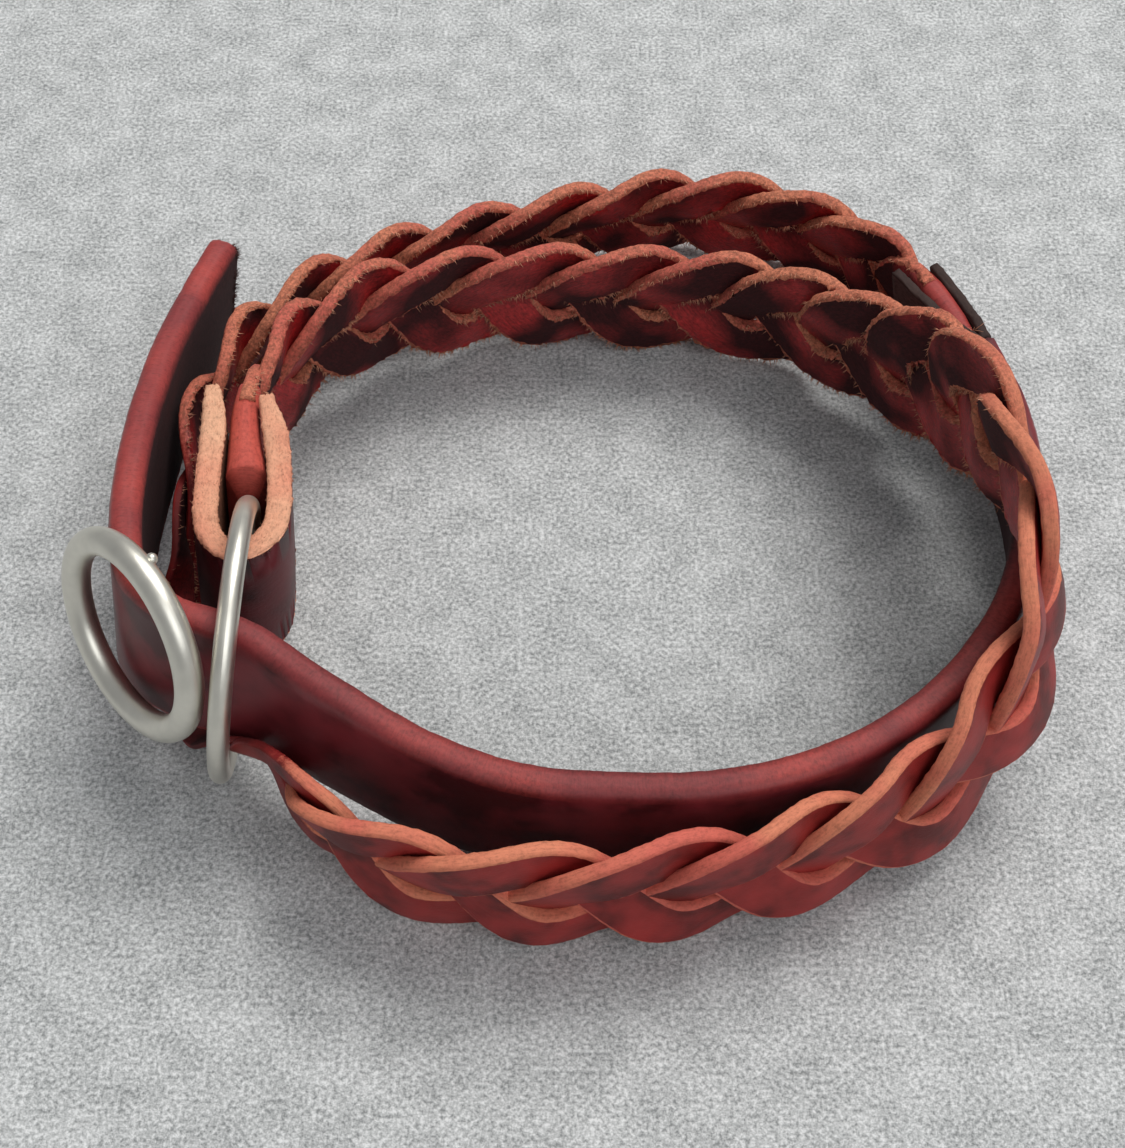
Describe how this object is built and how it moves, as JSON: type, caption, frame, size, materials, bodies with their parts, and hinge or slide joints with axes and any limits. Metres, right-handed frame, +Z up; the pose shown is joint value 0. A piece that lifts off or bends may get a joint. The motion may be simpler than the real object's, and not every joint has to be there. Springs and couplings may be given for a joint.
{
  "type": "braided leather headband",
  "caption": "Flexible band of braided leather with a plain strap end, wrapped into a double loop and closed by threading the strap through round metal rings.",
  "frame": {"origin": "centre of the bottom of the bounding box, on the surface the band stands on", "axes": "+Z up, the front run of the loop faces -Y, the rings are at -X"},
  "size_m": [0.086, 0.0858, 0.0304],
  "materials": {
    "strand_leather": "waxed grain with raw pale edges",
    "fold_leather": "waxed grain with raw pale edges",
    "strap_leather": "smooth grain, burnished edges",
    "ring_metal": "satin nickel"
  },
  "bodies": {
    "band": {"braid_strand_1": "strand_leather", "braid_strand_2": "strand_leather", "braid_strand_3": "strand_leather", "ring_end_tab": "strand_leather", "strap_end_tab": "strand_leather", "ring_fold": "fold_leather", "strap": "strap_leather", "splice_ply_outer": "strap_leather", "splice_ply_inner": "strap_leather"},
    "tail": {"strap_tail": "strap_leather"},
    "inner_ring": {"inner_ring": "ring_metal"},
    "outer_ring": {"outer_ring": "ring_metal"}
  },
  "joints": [
    {"name": "inner_ring_swing", "type": "hinge", "parent": "band", "child": "inner_ring", "pos_m": [-0.02861, -0.00937, 0.01232], "axis": [0, 0, 1], "range_deg": [-1, 2]},
    {"name": "outer_ring_swing", "type": "hinge", "parent": "band", "child": "outer_ring", "pos_m": [-0.03536, -0.02087, 0.02122], "axis": [-0.6606, 0.7507, 0], "range_deg": [0, 20]},
    {"name": "tail_flex", "type": "hinge", "parent": "band", "child": "tail", "pos_m": [-0.03836, -0.01177, 0.013], "axis": [0, 0, 1], "range_deg": [0, 15], "stiffness_Nm_per_rad": 0.002}
  ]
}
